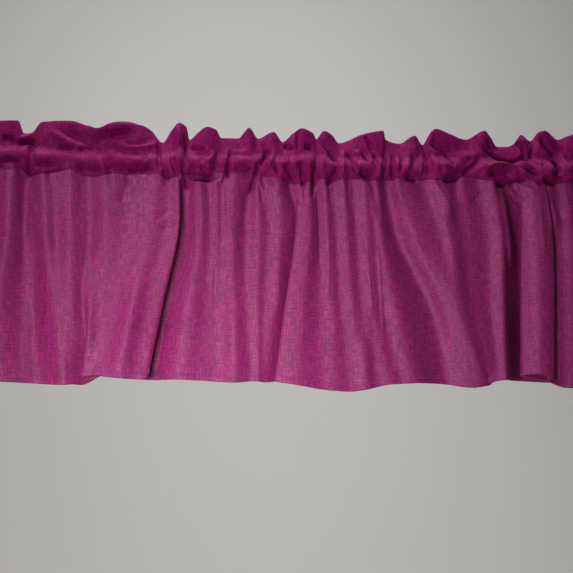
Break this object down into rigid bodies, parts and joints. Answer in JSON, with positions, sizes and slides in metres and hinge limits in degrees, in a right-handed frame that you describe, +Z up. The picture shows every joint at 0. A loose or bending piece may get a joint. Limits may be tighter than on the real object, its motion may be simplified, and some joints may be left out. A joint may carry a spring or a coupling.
{
  "type": "window valance",
  "caption": "Short gathered window valance of plain slubby cloth, with a standing ruffle, a rod channel and soft uneven folds down to a narrow hem.",
  "frame": {"origin": "on the axis of the rod channel, at the middle of the width", "axes": "+X along the rod to the viewer's right, +Y towards the window behind the cloth, +Z up; the right side of the cloth faces -Y"},
  "size_m": [1.0054, 0.0467, 0.3959],
  "materials": {
    "heading_cloth": "slubby linen look plain weave, doubled, slight sheen",
    "drop_cloth": "slubby linen look plain weave, one layer, slight sheen"
  },
  "bodies": {
    "root": {"heading": "heading_cloth", "drop": "drop_cloth"}
  },
  "joints": []
}
